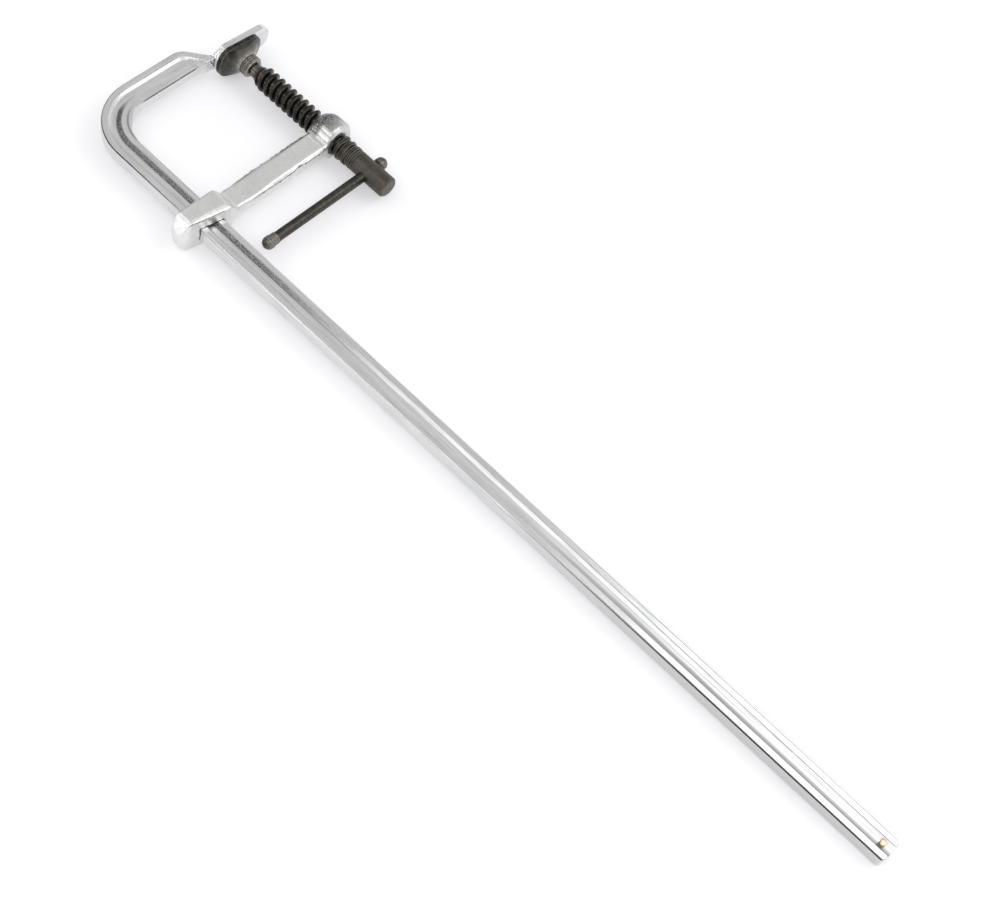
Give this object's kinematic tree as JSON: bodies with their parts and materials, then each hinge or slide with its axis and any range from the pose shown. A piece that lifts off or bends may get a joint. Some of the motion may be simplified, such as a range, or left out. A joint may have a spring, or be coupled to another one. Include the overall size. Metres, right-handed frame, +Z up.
{
  "type": "bar clamp",
  "caption": "Bar clamp: a grooved rail bent into a fixed jaw, and a sliding arm whose screw, turned by a tommy bar, presses a swivel pad on the work.",
  "frame": {"origin": "middle of the underside of the box round the whole clamp, which lies flat and shut", "axes": "+X along the rail from the fixed arm to the free end; +Y from the rail towards the screw; +Z up, square to the clamp's flat"},
  "size_m": [0.508, 0.1222, 0.0208],
  "materials": {
    "zinc_plated_rail": "bright zinc plated, drawn and forged",
    "zinc_plated_forging": "zinc plated over a grainy forged skin",
    "black_oxide_screw": "black oxide with a trace of oil",
    "black_oxide_pad": "black oxide, turned",
    "black_oxide_bar": "black oxide, worn at the edges",
    "copper_pin": "copper coloured, domed"
  },
  "bodies": {
    "rail": {"rail_with_fixed_arm": "zinc_plated_rail", "stop_pin": "copper_pin"},
    "arm": {"sliding_arm": "zinc_plated_forging"},
    "pad": {"swivel_pad": "black_oxide_pad"},
    "screw": {"clamp_screw": "black_oxide_screw"},
    "tommy": {"tommy_bar": "black_oxide_bar", "tommy_cap_near": "black_oxide_bar", "tommy_cap_far": "black_oxide_bar"}
  },
  "joints": [
    {"name": "arm_slide", "type": "slide", "parent": "rail", "child": "arm", "axis": [1, 0, 0], "range_m": [0, 0.411]},
    {"name": "screw_travel", "type": "slide", "parent": "arm", "child": "pad", "axis": [1, 0, 0], "range_m": [0, 0.0421]},
    {"name": "screw_turn", "type": "hinge", "parent": "pad", "child": "screw", "pos_m": [-0.2292, 0.03905, 0.0104], "axis": [1, 0, 0], "range_deg": [0, 3600]},
    {"name": "tommy_slide", "type": "slide", "parent": "screw", "child": "tommy", "axis": [0, 1, 0], "range_m": [0, 0.0574]}
  ],
  "couplings": [
    {"joint": "screw_travel", "follows": "screw_turn", "m_per_rad": 0.00066845}
  ]
}
